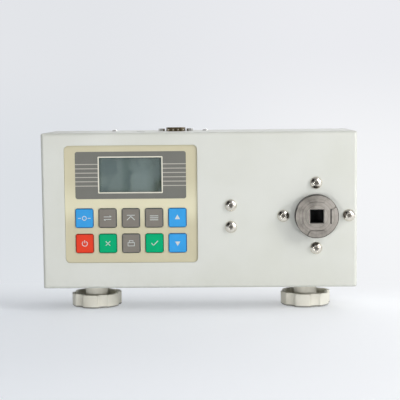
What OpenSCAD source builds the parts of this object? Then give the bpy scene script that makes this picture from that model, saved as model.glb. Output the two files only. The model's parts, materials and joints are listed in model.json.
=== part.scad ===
// Bench torque tester: a folded steel case with a keypad and display at the left of its
// front panel, and at the right a square-drive torque head that bends a strain-gauged beam.
// Millimetres. +X to the right, +Y from the front panel to the back, +Z up.
// z = 0 is the bench, and x = y = 0 is the middle of the overall box.
// Depths written t are measured from the front panel's outer face into the case.

/* [Case] */
// Width of the case
case_w = 270; // [264:1:320]
// Height of the case
case_h = 134; // [130:1:170]
// Depth of the case with its rear cover
case_d = 80; // [77:1:110]
// Thickness of the steel sheet
sheet_t = 1.5; // [1.2:0.1:1.8]
// Outer radius of the fold along the front edges
fold_r = 2.5; // [2:0.1:4]
// Corner radius of the case seen from the front
corner_r = 2; // [1.5:0.1:4]
// Width of the folded return round the back opening
return_w = 12; // [10:0.5:16]
// Thickness of the rear cover
cover_t = 1.5; // [1:0.1:2.5]

/* [Keypad] */
// Width of the keypad film as a share of the case's width
film_w_share = 0.4205; // [0.4:0.0005:0.43]
// Height of the keypad film as a share of the case's height
film_h_share = 0.749; // [0.73:0.001:0.76]
// Thickness of the keypad film
film_t = 0.4; // [0.2:0.1:0.8]
// Corner radius of the keypad film
film_r = 4; // [2:0.5:8]
// Case side to the film's left edge, as a share of the case's width
film_side_share = 0.074; // [0.07:0.001:0.08]
// Case top to the film's upper edge, as a share of the case's height
film_top_share = 0.082; // [0.075:0.001:0.1]
// Sideways place of keys and display on the film
print_shift = -0.4; // [-1:0.1:0.5]
// Thickness of the backing plate
plate_t = 3; // [2:0.5:4]
// Width of one key as a share of the film's width
key_w_share = 0.1366; // [0.11:0.0002:0.142]
// Height of one key as a share of the film's height
key_h_share = 0.1654; // [0.13:0.0002:0.18]
// Corner radius of a key
key_r = 2; // [1:0.5:4]
// Sideways pitch of the keys as a share of the film's width
key_pitch_x_share = 0.1762; // [0.17:0.0002:0.177]
// Upright pitch of the keys as a share of the film's height
key_pitch_z_share = 0.2182; // [0.2:0.0002:0.224]
// Film centre down to the middle of the two key rows, as a share of the film's height
key_drop_share = 0.227; // [0.22:0.0002:0.24]
// How far a key stands out of the film
key_proud = 0.8; // [0.4:0.1:1.4]
// Travel of a key
key_travel = 0.6; // [0.3:0.1:0.9]

/* [Display] */
// Width of the display opening as a share of the film's width
window_w_share = 0.472; // [0.43:0.0005:0.5]
// Height of the display opening as a share of the film's height
window_h_share = 0.295; // [0.24:0.001:0.31]
// Film centre up to the display centre, as a share of the film's height
window_rise_share = 0.251; // [0.24:0.0005:0.26]
// Thickness of the clear window
lens_t = 1; // [0.8:0.1:1.5]

/* [Torque head] */
// Case side to the torque axis
head_from_side = 35; // [34:0.5:40]
// Case bottom to the torque axis
head_from_floor = 62; // [56:0.2:70]
// Diameter of the drive disc
disc_d = 37; // [36:0.5:42]
// Front panel to the outer face of the drive disc
disc_stand = 10; // [8:0.5:14]
// Height of the four raised lands on the disc
land_h = 1.6; // [1:0.1:2.5]
// Size of the square socket
socket_a = 11.2; // [9:0.1:12.7]
// Depth of the square socket
socket_depth = 20; // [14:1:24]
// Shaft diameter at the bearings
shaft_d = 20; // [18:0.5:20]
// Pitch circle of the four housing screws
housing_pcd = 56; // [55:0.5:58]
// Diameter of the housing flange
flange_d = 65; // [64:0.5:66]

/* [Load cell] */
// Torque axis to the beam's mounting screws, as a share of the case's width
beam_reach_share = 0.2695; // [0.263:0.0005:0.278]
// Upright spacing of the beam block's screws
beam_screw_pitch = 18.5; // [16:0.5:24]
// Height and depth of the beam's section
beam_a = 12; // [10:0.5:12]
// Diameter of the two flexure holes
flexure_d = 8; // [6:0.5:9]

/* [Feet] */
// Case side to a foot's axis
foot_from_side = 41.5; // [38:0.5:60]
// Diameter of the hand knob over its lobes
knob_d = 44; // [38:0.5:48]
// Gap between the knob's rim and the case
knob_gap = 9.6; // [6:0.2:12]
// Height of the hand knob
knob_h = 11.4; // [9:0.2:16]
// How far a foot unscrews
foot_travel = 5; // [2:0.5:6]
// Diameter of the foot's stud
stud_d = 8; // [6:0.5:10]

/* [Top face] */
// Case middle to the serial connector
serial_x = -20.9; // [-24:0.1:-18]
// Spacing of the serial connector's jack screws
jack_pitch = 25; // [24.9:0.01:25.1]
// Case middle to the charger inlet
inlet_x = -52; // [-56:1:-48]

/* [Hidden] */
$fn = 48;
// One overrun for every cut
over = 1;
// Ease on each side of a screw or stud in its hole
ease = 0.05;
// Smallest inside radius left where a wall eats a fold
least_r = 0.3;

// Sizes that follow the case are made to this step
size_step = 0.1;
function stepped(size) = round(size / size_step) * size_step;

// Fixed counts
key_cols = 5;
key_rows = 2;
knob_lobes = 6;

// Rear bumpers
bumper_d = 14;
bumper_top_d = 11;
bumper_h = 4;
bumper_inset = 24;

// Foot pad under the knob
pad_d = 34;
pad_t = 1.2;
pad_sunk = 0.6;
pad_ease = 0.4;

// Heights
knob_z = pad_t - pad_sunk;
rim_z = knob_z + knob_h;
case_z = rim_z + knob_gap;
case_mid_z = case_z + case_h / 2;
case_top_z = case_z + case_h;

// Depths: the overall box runs from the drive disc to the rear bumpers
overall_d = disc_stand + case_d + bumper_h;
panel_y = disc_stand - overall_d / 2;
pan_d = case_d - cover_t;
mid_t = case_d / 2;
inner_w = case_w - 2 * sheet_t;
inner_h = case_h - 2 * sheet_t;

// Keypad and display sizes and places
film_w = stepped(case_w * film_w_share);
film_h = stepped(case_h * film_h_share);
film_from_side = stepped(case_w * film_side_share);
film_from_top = stepped(case_h * film_top_share);
key_w = stepped(film_w * key_w_share);
key_h = stepped(film_h * key_h_share);
key_pitch_x = stepped(film_w * key_pitch_x_share);
key_pitch_z = stepped(film_h * key_pitch_z_share);
key_drop = stepped(film_h * key_drop_share);
window_w = stepped(film_w * window_w_share);
window_h = stepped(film_h * window_h_share);
window_rise = stepped(film_h * window_rise_share);
film_gap = 0.3;
film_x = -case_w / 2 + film_from_side + film_w / 2;
film_z = case_top_z - film_from_top - film_h / 2;
print_x = film_x + print_shift;
keys_z = film_z - key_drop;
window_z = film_z + window_rise;
plate_side = stepped(film_w * 0.071);
plate_edge = 6;
plate_w = film_w + 2 * plate_side;
plate_h = film_h + 2 * plate_edge;
plate_r = 3;
plate_back_t = sheet_t + plate_t;
film_front_t = sheet_t - film_t;
plate_stud_d = 3;
plate_stud_side = 4;
plate_stud_drop = 3;
plate_stud_past = 3.5;
nut_h = 2.4;
nut_af = 5.5;

// Keys, their retaining skirts and the switches behind them
key_ease = 0.25;
key_edge_r = 0.7;
skirt_lip = 1;
skirt_t = 1.2;
skirt_gap = 0.1;
stem_d = 3.4;
stem_in_switch = 0.8;
switch_a = 6;
switch_h = 3.5;
switch_clear = 1.1;
switch_ease = 0.15;
switch_floor = 1.2;
key_front_t = film_front_t - key_proud;
skirt_front_t = plate_back_t + skirt_gap;
skirt_back_t = skirt_front_t + skirt_t;
switch_front_t = skirt_back_t + key_travel + switch_clear;
key_board_t = switch_front_t + switch_h;
stem_back_t = switch_front_t + stem_in_switch;

// Printed boards
board_t = 1.6;
key_board_inset = 0.5;
key_board_margin = 2.75;
key_board_w = film_w - 2 * key_board_inset;
key_board_h = key_pitch_z + key_h + 2 * key_board_margin;
boss_d = 5;
boss_from_film = 3;
boss_from_board = 5;
key_boss_x = film_w / 2 - boss_from_film;
key_boss_z = key_board_h / 2 - boss_from_board;
board_screw_d = 2.5;
board_screw_head_d = 4.6;
board_screw_head_h = 1.6;
board_screw_bite = 4;
board_hole_d = 3;

// Display stack
lens_rim = 2;
lens_ease = 0.15;
plate_hole_rim = 0.6;
glass_rim = 2.2;
glass_t = 2.8;
frame_wall = 0.6;
frame_d = 3.8;
frame_lip = 1;
lcd_board_side = 12.2;
lcd_board_edge = 6.4;
lcd_board_w = window_w + 2 * lcd_board_side;
lcd_board_h = window_h + 2 * lcd_board_edge;
lcd_boss_side = 9.2;
lcd_boss_edge = 3.4;
lcd_boss_x = window_w / 2 + lcd_boss_side;
lcd_boss_z = window_h / 2 + lcd_boss_edge;
lcd_board_front_t = plate_back_t + frame_d;

// Torque head and its housing
head_x = case_w / 2 - head_from_side;
head_z = case_z + head_from_floor;
disc_gap = 1;
disc_edge = 0.6;
land_inner_r = 12.3;
land_half_w = 5.5;
land_flare_deg = 32;
socket_edge = 0.8;
shoulder_d = 23.5;
spigot_d = 34;
spigot_ease = 0.2;
flange_t = 10;
lip_t = 3.2;
lip_bore = 26;
bearing_od = 32;
bearing_b = 7;
bearing_fit = 0.02;
barrel_d = 42;
inner_ring_wall = 1.9;
outer_ring_wall = 1.9;
ball_d = 3.6;
ball_count = 11;
groove_ease = 0.1;
nut_ring_t = 5;
lever_gap = 0.5;
lever_t = 12;
cap_head_h = 5;
rear_clear = 13;
bearing_gap = case_d - cover_t - rear_clear - cap_head_h - lever_t - lever_gap - nut_ring_t
    - 2 * bearing_b - lip_t;
front_bearing_t = lip_t;
rear_bearing_t = front_bearing_t + bearing_b + bearing_gap;
bearing_back_t = rear_bearing_t + bearing_b;
ring_t = 1.2;
ring_out = 0.9;
ring_in = 2;
ring_gap_deg = 40;
barrel_back_t = bearing_back_t + ring_t + 2 * sheet_t;
nut_ring_d = 27;
nut_slots = 4;
nut_slot_w = 4;
nut_slot_deep = 2;
lever_front_t = bearing_back_t + nut_ring_t + lever_gap;
lever_back_t = lever_front_t + lever_t;
lever_hub_d = 36;
fork_w = 20;
beam_reach = stepped(case_w * beam_reach_share);
fork_to_beam = 31.3;
fork_reach = beam_reach - fork_to_beam;
fork_ease = 0.3;
fork_end_gap = 0.5;
tip_share = 0.66;
tip_h = beam_a * tip_share;
tip_len = 9;
clamp_lug = 8;
clamp_slit = 2;
clamp_screw_d = 5;
clamp_screw_len = 22;
shaft_end_past = 1;

// Button-head screws that show on the panel
button_d = 10.5;
button_h = 3.3;
button_rise = 2.8;
button_hex = 4;
button_hex_deep = 2;
button_shank_d = 6;
button_shank_len = 12;
shank_hole_d = 6.4;

// Load cell, block and bolts
beam_x = head_x - beam_reach;
block_w = 22;
block_h = 34;
beam_front_t = lever_front_t;
beam_tip_x = head_x - fork_reach + tip_len;
beam_left_x = beam_x - block_w / 2;
beam_bolt_d = 5;
beam_bolt_pitch = 10;
beam_bolt_bite = 14;
cap_head_d = 8.5;
cap_hex = 4;
cap_hex_deep = 2.5;
flexure_pitch = 11;
flexure_slot = 3;
flexure_x = (beam_x + block_w / 2 + beam_tip_x - tip_len) / 2;
gauge_w = 6;
gauge_t = 0.3;
gauge_d = 5;

// Feet
foot_x = case_w / 2 - foot_from_side;
foot_t = mid_t;
lobe_dip = 2.6;
scallop_r = 7;
lobe_turn_deg = -10;
knob_base = 4;
knob_wall = 2.2;
hub_d = 20;
hub_gap = 0.3;
knob_edge = 0.8;
stud_in_knob = 3;
stud_past_nut = 3;
foot_hole_ease = 0.5;
stud_hole_d = stud_d + 2 * foot_hole_ease;
weld_nut_af_share = 1.6;
weld_nut_h = 6.5;
stud_nut_ease = 0.2;

// Serial connector, flanged from inside the top face
shell_w = 17;
shell_d = 8.4;
shell_slope = 1.4;
shell_r = 2;
shell_t = 0.5;
shell_h = 4.8;
shell_hole_ease = 0.4;
connector_flange_w = 30.8;
connector_flange_d = 12.4;
connector_flange_t = 0.9;
connector_body_w = 19;
connector_body_h = 10;
contact_d = 1.1;
contact_deep = 4;
contact_pitch = 2.77;
contact_row = 2.84;
insert_gap = 0.2;
insert_down = 0.4;
jack_af = 4.8;
jack_h = 2.4;
jack_shank_d = 3;
jack_shank_len = 5;
jack_thread_d = 2.2;
jack_thread_deep = 6;
jack_hole_d = 3.2;

// Charger inlet
inlet_collar_d = 7.8;
inlet_hole_ease = 0.2;
inlet_bore_d = 5.6;
inlet_pin_d = 2;
inlet_body_w = 9;
inlet_body_d = 13;
inlet_body_h = 11;
inlet_deep = 9;
inlet_pin_gap = 0.8;

// Main board, bracket and the parts on the board
main_board_side = 36;
main_board_gap = 2.7;
main_board_left = -case_w / 2 + main_board_side;
main_board_w = beam_left_x - main_board_gap - main_board_left;
main_board_h = 62;
main_board_x = main_board_left + main_board_w / 2;
main_board_t = mid_t + connector_flange_d / 2 + inlet_hole_ease;
main_board_drop = 2;
main_board_back_t = main_board_t + board_t;
bracket_t = 1.2;
bracket_leg = 13;
bracket_drop = 16;
bracket_w = 92;
bracket_x = -36;
bracket_screw_pitch = 81.6;
bracket_screw_d = 3;
bracket_screw_head_d = 5.6;
bracket_screw_head_h = 1.6;
screw_past = 2;
board_fix_pitch = 64;
chip_w = 14;
chip_t = 2.2;
driver_w = 10;
driver_h = 18;
driver_t = 3;
capacitor_d = 8;
capacitor_l = 11;
header_w = 22;
header_h = 5;
header_t = 8;
chip_x_shares = [-0.12, 0.08];
driver_x_share = 0.26;
capacitor_x_shares = [0.2, 0.3, 0.4];
capacitor_z_share = -0.34;
header_z_share = -0.36;

// Ribbon cable from key board to main board
ribbon_w = 18;
ribbon_t = 0.8;
ribbon_side = 43;
ribbon_x = -case_w / 2 + ribbon_side;
ribbon_in_board = 6;
ribbon_low = 14;

// Battery pack of six cells, lying on the case floor
cell_d = 14.5;
cell_l = 50.5;
cells_across = 3;
wrap_share = 0.86;
battery_gap = 10.1;
battery_x = -foot_x + stud_d * weld_nut_af_share / 2 + battery_gap + cell_l;
wrap_gap = 0.2;
strap_t = 1;
strap_w = 26;
strap_foot_share = 0.375;
strap_foot = (case_d - cover_t - 2 * sheet_t - cells_across * cell_d - 2 * wrap_gap
    - 2 * strap_t) * strap_foot_share;
strap_screw_d = 3;
strap_screw_head_d = 5.6;
strap_screw_head_h = 2;

// Rear cover screws
cover_inset = 0.8;
cover_screw_d = 4;
cover_screw_head_d = 7.6;
cover_screw_head_h = 2.4;
cover_screw_len = 7;
cross_w = 1;
cross_len = 4;
cross_deep = 1.2;
cover_hole_x = case_w / 2 - return_w / 2;
cover_hole_z = case_h / 2 - return_w / 2;

// Colours, as the object shows them
paint = [0.87, 0.87, 0.84];
beige = [0.83, 0.79, 0.68];
knob_beige = [0.84, 0.82, 0.75];
steel = [0.62, 0.60, 0.58];
bright = [0.78, 0.77, 0.74];
alloy = [0.75, 0.76, 0.78];
rubber = [0.16, 0.16, 0.16];
board_green = [0.10, 0.38, 0.22];
key_blue = [0.16, 0.46, 0.82];
key_grey = [0.42, 0.42, 0.38];
key_red = [0.84, 0.22, 0.20];
key_green = [0.12, 0.62, 0.36];

// A flat outline drawn in x and z, as the panel shows it, becomes a slab between two depths
module slab(t_front, t_back) {
    translate([0, panel_y + t_back, 0]) rotate([90, 0, 0])
        linear_extrude(t_back - t_front) children();
}

// A turned part drawn on +Z points into the case at (x, z), its zero on the panel's face
module into_case(x, z) {
    translate([x, panel_y, z]) rotate([-90, 0, 0]) children();
}

// A turned part drawn on +Z stands on the case's top face at (x, t)
module on_top(x, t, z = case_top_z) {
    translate([x, panel_y + t, z]) children();
}

// Outline with round corners, made of squares and circles so that its arcs stay true
module round_rect(w, h, r) {
    square([w - 2 * r, h], center = true);
    square([w, h - 2 * r], center = true);
    for (sx = [-1, 1]) for (sy = [-1, 1])
        translate([sx * (w / 2 - r), sy * (h / 2 - r)]) circle(r);
}

// Section of a folded box, its closed end at y = 0 with rounded shoulders
module shoulder_profile(span, depth, r) {
    translate([-span / 2, r]) square([span, depth - r]);
    translate([-span / 2 + r, 0]) square([span - 2 * r, depth]);
    for (s = [-1, 1]) translate([s * (span / 2 - r), r]) circle(r);
}

// Box centred on x and z whose front edges are rounded by edge_r, and whose corners,
// seen from the front, by corner_r. It runs from y = 0 to y = depth.
module front_rounded_box(w, h, depth, corner, edge) {
    intersection() {
        translate([0, depth, 0]) rotate([90, 0, 0])
            linear_extrude(depth) round_rect(w, h, corner);
        translate([0, 0, -h / 2]) linear_extrude(h) shoulder_profile(w, depth, edge);
        rotate([0, -90, 0]) translate([0, 0, -w / 2])
            linear_extrude(w) shoulder_profile(h, depth, edge);
    }
}

module ring(outer_d, inner_d, len) {
    difference() {
        cylinder(d = outer_d, h = len);
        translate([0, 0, -over]) cylinder(d = inner_d, h = len + 2 * over);
    }
}

// Six-sided bar measured across its flats
module hex_bar(across, len) {
    cylinder(d = across / cos(30), h = len, $fn = 6);
}

module at_each(xs, zs) {
    for (x = xs) for (z = zs) translate([x, z]) children();
}

function key_x(col) = print_x + (col - (key_cols - 1) / 2) * key_pitch_x;
function key_z(row) = keys_z + ((key_rows - 1) / 2 - row) * key_pitch_z;

// D-shaped outline of the serial connector, its wide side to the back
module d_outline(grow) {
    hull() {
        for (s = [-1, 1]) {
            translate([s * (shell_w / 2 - shell_r), shell_d / 2 - shell_r])
                circle(shell_r + grow, $fn = 32);
            translate([s * (shell_w / 2 - shell_r - shell_slope), shell_r - shell_d / 2])
                circle(shell_r + grow, $fn = 32);
        }
    }
}

// Folded pan: front panel, four sides and a return round the open back
module front_case() {
    color(paint) difference() {
        union() {
            difference() {
                translate([0, panel_y, case_mid_z])
                    front_rounded_box(case_w, case_h, pan_d, corner_r, fold_r);
                translate([0, panel_y + sheet_t, case_mid_z])
                    front_rounded_box(inner_w, inner_h, pan_d - 2 * sheet_t,
                        max(corner_r - sheet_t, least_r), max(fold_r - sheet_t, least_r));
                slab(pan_d - sheet_t - over, pan_d + over) translate([0, case_mid_z])
                    round_rect(case_w - 2 * return_w, case_h - 2 * return_w, corner_r);
            }
            slab(sheet_t / 2, plate_back_t + plate_stud_past) plate_stud_places()
                circle(d = plate_stud_d);
        }
        slab(-over, sheet_t + over) translate([film_x, film_z])
            round_rect(film_w + 2 * film_gap, film_h + 2 * film_gap, film_r);
        into_case(head_x, head_z) translate([0, 0, -over])
            cylinder(d = spigot_d + 2 * spigot_ease, h = sheet_t + 2 * over);
        slab(-over, sheet_t + over) {
            housing_screw_places() circle(d = shank_hole_d);
            beam_screw_places() circle(d = shank_hole_d);
        }
        slab(pan_d - sheet_t - over, pan_d + over) cover_screw_places()
            circle(d = cover_screw_d + 2 * ease);
        on_top(serial_x, mid_t, case_top_z - sheet_t - over)
            linear_extrude(sheet_t + 2 * over) d_outline(shell_hole_ease);
        for (s = [-1, 1]) on_top(serial_x + s * jack_pitch / 2, mid_t, case_top_z - sheet_t - over)
            cylinder(d = jack_hole_d, h = sheet_t + 2 * over);
        on_top(inlet_x, mid_t, case_top_z - sheet_t - over)
            cylinder(d = inlet_collar_d + 2 * inlet_hole_ease, h = sheet_t + 2 * over);
        bracket_screw_places(case_top_z - sheet_t - over)
            cylinder(d = bracket_screw_d + 2 * ease, h = sheet_t + 2 * over);
        foot_places(case_z - over) cylinder(d = stud_hole_d, h = sheet_t + 2 * over);
        strap_screw_places(case_z - over)
            cylinder(d = strap_screw_d + 2 * ease, h = sheet_t + 2 * over);
    }
}

module plate_stud_places() {
    translate([film_x, film_z])
        at_each([-1, 1] * (plate_w / 2 - plate_stud_side), [-1, 1] * (plate_h / 2 - plate_stud_drop
            - plate_edge))
            children();
}

module housing_screw_places() {
    for (a = [0 : 90 : 270])
        translate([head_x, head_z] + housing_pcd / 2 * [cos(a), sin(a)]) children();
}

module beam_screw_places() {
    for (s = [-1, 1]) translate([beam_x, head_z + s * beam_screw_pitch / 2]) children();
}

module cover_screw_places() {
    for (sx = [-1, 0, 1]) for (sz = [-1, 1])
        translate([sx * cover_hole_x, case_mid_z + sz * cover_hole_z]) children();
}

module bracket_screw_places(z) {
    for (s = [-1, 1])
        on_top(bracket_x + s * bracket_screw_pitch / 2, main_board_back_t + bracket_t
            + bracket_leg / 2, z) children();
}

module foot_places(z) {
    for (s = [-1, 1]) translate([s * foot_x, panel_y + foot_t, z]) children();
}

module strap_screw_places(z) {
    for (s = [-1, 1])
        translate([battery_x, panel_y + mid_t + s * (battery_span() / 2 + wrap_gap + strap_t
            + strap_foot / 2), z]) children();
}

// Flat plate that closes the back
module rear_cover() {
    color(paint) slab(pan_d, case_d) difference() {
        translate([0, case_mid_z]) round_rect(case_w - 2 * cover_inset,
            case_h - 2 * cover_inset, corner_r);
        cover_screw_places() circle(d = cover_screw_d + 2 * ease);
    }
}

module rear_cover_screws() {
    color(bright) for (sx = [-1, 0, 1]) for (sz = [-1, 1])
        translate([sx * cover_hole_x, panel_y + case_d, case_mid_z + sz * cover_hole_z])
            rotate([90, 0, 0]) pan_screw(cover_screw_d, cover_screw_len, cover_screw_head_d,
                cover_screw_head_h);
}

// Pan-head screw: shank along +Z, head below z = 0, with a cross recess
module pan_screw(d, len, head_d, head_h) {
    dome_r = ((head_d / 2) ^ 2 + head_h ^ 2) / (2 * head_h);
    cylinder(d = d, h = len);
    difference() {
        intersection() {
            translate([0, 0, -head_h]) cylinder(d = head_d, h = head_h);
            translate([0, 0, dome_r - head_h]) sphere(dome_r);
        }
        for (a = [0, 90]) rotate(a) translate([-cross_len / 2, -cross_w / 2, -head_h - over])
            cube([cross_len, cross_w, over + min(cross_deep, head_h / 2)]);
    }
}

// Four rubber bumpers, for use lying on the back
module rear_bumpers() {
    color(rubber) for (sx = [-1, 1]) for (sz = [-1, 1])
        into_case(sx * (case_w / 2 - bumper_inset), case_mid_z + sz * (case_h / 2 - bumper_inset))
            translate([0, 0, case_d]) cylinder(d1 = bumper_d, d2 = bumper_top_d, h = bumper_h);
}

// Moulded plate behind the cut-out: guides the keys, seats the window, carries the boards
module keypad_plate() {
    color(beige) difference() {
        union() {
            slab(sheet_t, plate_back_t) translate([film_x, film_z])
                round_rect(plate_w, plate_h, plate_r);
            slab(sheet_t, key_board_t) key_boss_places() circle(d = boss_d);
            slab(sheet_t, lcd_board_front_t) lcd_boss_places() circle(d = boss_d);
        }
        slab(sheet_t - over, plate_back_t + over) {
            for (c = [0 : key_cols - 1]) for (r = [0 : key_rows - 1])
                translate([key_x(c), key_z(r)])
                    round_rect(key_w + 2 * key_ease, key_h + 2 * key_ease, key_r + key_ease);
            translate([print_x, window_z])
                square([window_w + 2 * plate_hole_rim, window_h + 2 * plate_hole_rim],
                    center = true);
            plate_stud_places() circle(d = plate_stud_d + 2 * ease);
        }
        slab(sheet_t - over, sheet_t + lens_t) translate([print_x, window_z])
            square([window_w + 2 * lens_rim + 2 * lens_ease,
                window_h + 2 * lens_rim + 2 * lens_ease], center = true);
        slab(key_board_t - board_screw_bite, key_board_t + over)
            key_boss_places() circle(d = board_screw_d + 2 * ease);
        slab(lcd_board_front_t - board_screw_bite, lcd_board_front_t + over)
            lcd_boss_places() circle(d = board_screw_d + 2 * ease);
    }
}

module key_boss_places() {
    translate([print_x, keys_z]) at_each([-1, 1] * key_boss_x, [-1, 1] * key_boss_z) children();
}

module lcd_boss_places() {
    translate([print_x, window_z]) at_each([-1, 1] * lcd_boss_x, [-1, 1] * lcd_boss_z) children();
}

// Printed film glued on the plate, with a hole for each key and for the display
module keypad_overlay() {
    color(beige) slab(film_front_t, sheet_t) difference() {
        translate([film_x, film_z]) round_rect(film_w, film_h, film_r);
        for (c = [0 : key_cols - 1]) for (r = [0 : key_rows - 1])
            translate([key_x(c), key_z(r)])
                round_rect(key_w + 2 * key_ease, key_h + 2 * key_ease, key_r + key_ease);
        translate([print_x, window_z]) square([window_w, window_h], center = true);
    }
}

module plate_nuts() {
    color(bright) slab(plate_back_t, plate_back_t + nut_h) plate_stud_places() difference() {
        circle(d = nut_af / cos(30), $fn = 6);
        circle(d = plate_stud_d + 2 * ease);
    }
}

module display_window() {
    color([0.8, 0.85, 0.85, 0.4]) slab(sheet_t, sheet_t + lens_t) translate([print_x, window_z])
        square([window_w + 2 * lens_rim, window_h + 2 * lens_rim], center = true);
}

module lcd_glass() {
    color([0.55, 0.57, 0.52]) slab(plate_back_t + frame_wall, plate_back_t + frame_wall + glass_t)
        translate([print_x, window_z])
            square([window_w + 2 * glass_rim, window_h + 2 * glass_rim], center = true);
}

// Pressed steel frame that holds the glass to its board
module lcd_frame() {
    outer_w = window_w + 2 * glass_rim + 2 * frame_wall + 2 * lens_ease;
    outer_h = window_h + 2 * glass_rim + 2 * frame_wall + 2 * lens_ease;
    color(steel) translate([print_x, 0, window_z]) difference() {
        slab(plate_back_t, lcd_board_front_t) square([outer_w, outer_h], center = true);
        slab(plate_back_t + frame_wall, lcd_board_front_t + over)
            square([outer_w - 2 * frame_wall, outer_h - 2 * frame_wall], center = true);
        slab(plate_back_t - over, plate_back_t + frame_wall + over)
            square([window_w + 2 * frame_lip, window_h + 2 * frame_lip], center = true);
    }
}

module lcd_board() {
    color(board_green) slab(lcd_board_front_t, lcd_board_front_t + board_t) difference() {
        translate([print_x, window_z]) square([lcd_board_w, lcd_board_h], center = true);
        lcd_boss_places() circle(d = board_hole_d);
    }
}

module key_board() {
    color(board_green) slab(key_board_t, key_board_t + board_t) difference() {
        translate([print_x, keys_z]) square([key_board_w, key_board_h], center = true);
        key_boss_places() circle(d = board_hole_d);
    }
}

// One tactile switch behind each key; the key's stem works in its well
module key_switches() {
    color(rubber) for (c = [0 : key_cols - 1]) for (r = [0 : key_rows - 1])
        difference() {
            slab(switch_front_t, key_board_t) translate([key_x(c), key_z(r)])
                square(switch_a, center = true);
            slab(switch_front_t - over, key_board_t - switch_floor)
                translate([key_x(c), key_z(r)]) circle(d = stem_d + 2 * switch_ease);
        }
}

// Screws that hold the key board and the display board to the plate's bosses
module board_screws() {
    color(bright) {
        boss_screws(key_board_t) {
            key_boss_places() circle(d = board_screw_d);
            key_boss_places() circle(d = board_screw_head_d);
        }
        boss_screws(lcd_board_front_t) {
            lcd_boss_places() circle(d = board_screw_d);
            lcd_boss_places() circle(d = board_screw_head_d);
        }
    }
}

module boss_screws(front_t) {
    slab(front_t - board_screw_bite, front_t + board_t) children(0);
    slab(front_t + board_t, front_t + board_t + board_screw_head_h) children(1);
}

// One key: crowned cap, retaining skirt behind the plate, and stem
module key(col, row, tint) {
    color(tint) {
        translate([key_x(col), panel_y + key_front_t, key_z(row)])
            front_rounded_box(key_w, key_h, skirt_front_t - key_front_t, key_r, key_edge_r);
        slab(skirt_front_t, skirt_back_t) translate([key_x(col), key_z(row)])
            round_rect(key_w + 2 * skirt_lip, key_h + 2 * skirt_lip, key_r);
        slab(skirt_back_t, stem_back_t) translate([key_x(col), key_z(row)])
            circle(d = stem_d);
    }
}

// Machined shaft with the drive disc: four raised lands and a square socket in its face
module torque_head() {
    face_t = -disc_stand;
    color(steel) into_case(head_x, head_z) difference() {
        union() {
            translate([0, 0, face_t])
                cylinder(d1 = disc_d - 2 * disc_edge, d2 = disc_d, h = disc_edge);
            translate([0, 0, face_t + disc_edge])
                cylinder(d = disc_d, h = disc_stand - disc_gap - disc_edge);
            translate([0, 0, -disc_gap]) cylinder(d = shoulder_d, h = lip_t + disc_gap);
            translate([0, 0, lip_t])
                cylinder(d = shaft_d, h = lever_back_t + shaft_end_past - lip_t);
        }
        translate([0, 0, face_t - over]) linear_extrude(land_h + over) difference() {
            circle(d = disc_d + 2 * over);
            for (a = [0 : 90 : 270]) rotate(a) land_outline();
        }
        translate([0, 0, face_t]) translate([0, 0, socket_depth / 2])
            cube([socket_a, socket_a, socket_depth], center = true);
        translate([0, 0, face_t + land_h - over]) rotate(45)
            cylinder(r1 = (socket_a / 2 + socket_edge + over) / cos(45),
                r2 = socket_a / 2 / cos(45), h = socket_edge + over, $fn = 4);
    }
}

module land_outline() {
    outer_r = disc_d / 2 + 2 * over;
    outer_half = land_half_w + (outer_r - land_inner_r) * tan(land_flare_deg);
    polygon([[land_inner_r, -land_half_w], [outer_r, -outer_half],
        [outer_r, outer_half], [land_inner_r, land_half_w]]);
}

// Flanged housing: its spigot fills the hole in the panel and its bore holds both bearings
module bearing_housing() {
    color(alloy) difference() {
        into_case(head_x, head_z) difference() {
            union() {
                cylinder(d = spigot_d, h = sheet_t);
                translate([0, 0, sheet_t]) cylinder(d = flange_d, h = flange_t);
                translate([0, 0, sheet_t + flange_t])
                    cylinder(d = barrel_d, h = barrel_back_t - sheet_t - flange_t);
            }
            translate([0, 0, -over]) cylinder(d = lip_bore, h = lip_t + 2 * over);
            translate([0, 0, lip_t])
                cylinder(d = bearing_od + 2 * bearing_fit, h = barrel_back_t - lip_t + over);
            translate([0, 0, bearing_back_t])
                cylinder(d = bearing_od + 2 * ring_out + 2 * ease, h = ring_t + ease);
        }
        slab(sheet_t - over, sheet_t + flange_t + over)
            housing_screw_places() circle(d = button_shank_d + 2 * ease);
    }
}

// Button-head screw: shank along +Z, head below z = 0
module button_screw() {
    dome_r = ((button_d / 2) ^ 2 + button_rise ^ 2) / (2 * button_rise);
    cylinder(d = button_shank_d, h = button_shank_len);
    difference() {
        intersection() {
            translate([0, 0, -button_h]) cylinder(d = button_d, h = button_h);
            translate([0, 0, dome_r - button_h]) sphere(dome_r);
        }
        translate([0, 0, -button_h - over]) hex_bar(button_hex, button_hex_deep + over);
    }
}

module head_screws() {
    color(bright) for (a = [0 : 90 : 270])
        into_case(head_x + housing_pcd / 2 * cos(a), head_z + housing_pcd / 2 * sin(a))
            button_screw();
}

// Rings of both bearings: a race is a ring with a ball groove turned into it
module race_pair(outer_dia, inner_dia) {
    for (t = [front_bearing_t, rear_bearing_t]) translate([0, 0, t]) difference() {
        ring(outer_dia, inner_dia, bearing_b);
        translate([0, 0, bearing_b / 2]) rotate_extrude()
            translate([ball_circle_r(), 0]) circle(ball_d / 2 + groove_ease);
    }
}

function ball_circle_r() = (bearing_od + shaft_d) / 4;

module outer_races() {
    color(steel) into_case(head_x, head_z)
        race_pair(bearing_od, bearing_od - 2 * outer_ring_wall);
}

module inner_races() {
    color(steel) into_case(head_x, head_z)
        race_pair(shaft_d + 2 * inner_ring_wall, shaft_d + 2 * bearing_fit);
}

module bearing_balls() {
    color(bright) into_case(head_x, head_z)
        for (t = [front_bearing_t, rear_bearing_t]) for (i = [0 : ball_count - 1])
            rotate(i * 360 / ball_count) translate([ball_circle_r(), 0, t + bearing_b / 2])
                sphere(d = ball_d);
}

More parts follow.
